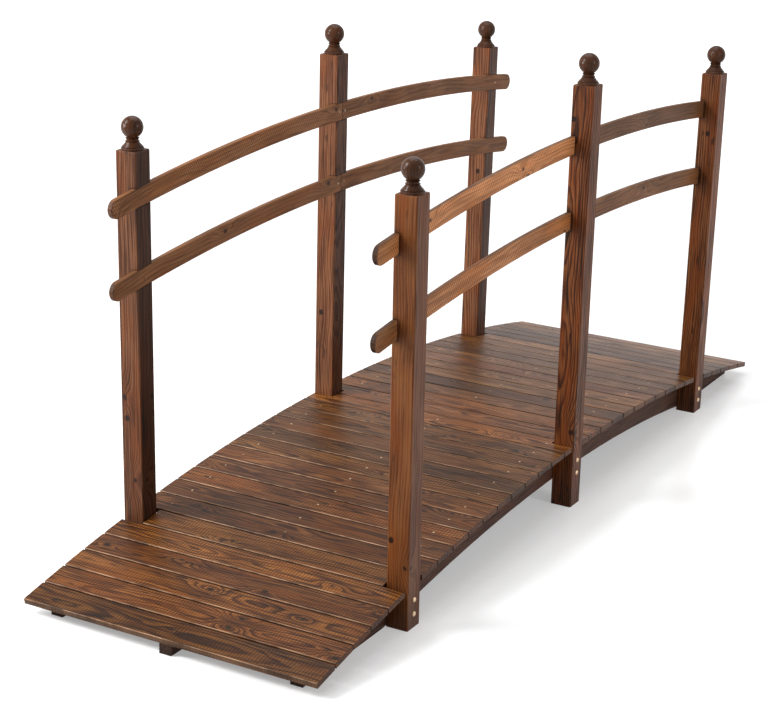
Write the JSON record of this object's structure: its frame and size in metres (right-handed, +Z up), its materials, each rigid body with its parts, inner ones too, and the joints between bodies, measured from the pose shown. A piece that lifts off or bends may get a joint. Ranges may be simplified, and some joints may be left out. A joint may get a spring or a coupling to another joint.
{
  "type": "garden moon bridge",
  "caption": "Small arched timber garden bridge with a planked deck, square posts with ball finials and curved rails on both sides.",
  "frame": {"origin": "on the ground at mid-span, halfway across the width", "axes": "+X along the walkway towards the far end, +Y across towards the left rail, +Z up"},
  "size_m": [2.285, 0.695, 1.0487],
  "materials": {
    "post_wood": "carbonised fir with a satin stain, dark streaks and knots",
    "rail_wood": "stained fir, satin, fine saw marks",
    "deck_wood": "stained fir boards with cross-cut saw ridges",
    "stringer_wood": "stained fir, matt",
    "finial_wood": "turned wood, dark stain, semi-gloss"
  },
  "bodies": {
    "root": {"stringer_left": "stringer_wood", "stringer_middle": "stringer_wood", "stringer_right": "stringer_wood", "deck_near_end": "deck_wood", "deck_near_post_board": "deck_wood", "deck_near_span": "deck_wood", "deck_middle_near_board": "deck_wood", "deck_middle_far_board": "deck_wood", "deck_far_span": "deck_wood", "deck_far_post_board": "deck_wood", "deck_far_end": "deck_wood", "post_left_near": "post_wood", "post_left_middle": "post_wood", "post_left_far": "post_wood", "post_right_near": "post_wood", "post_right_middle": "post_wood", "post_right_far": "post_wood", "rail_left_upper_near": "rail_wood", "rail_left_upper_far": "rail_wood", "rail_left_lower_near": "rail_wood", "rail_left_lower_far": "rail_wood", "rail_right_upper_near": "rail_wood", "rail_right_upper_far": "rail_wood", "rail_right_lower_near": "rail_wood", "rail_right_lower_far": "rail_wood", "finials_left": "finial_wood", "finials_right": "finial_wood"}
  },
  "joints": []
}
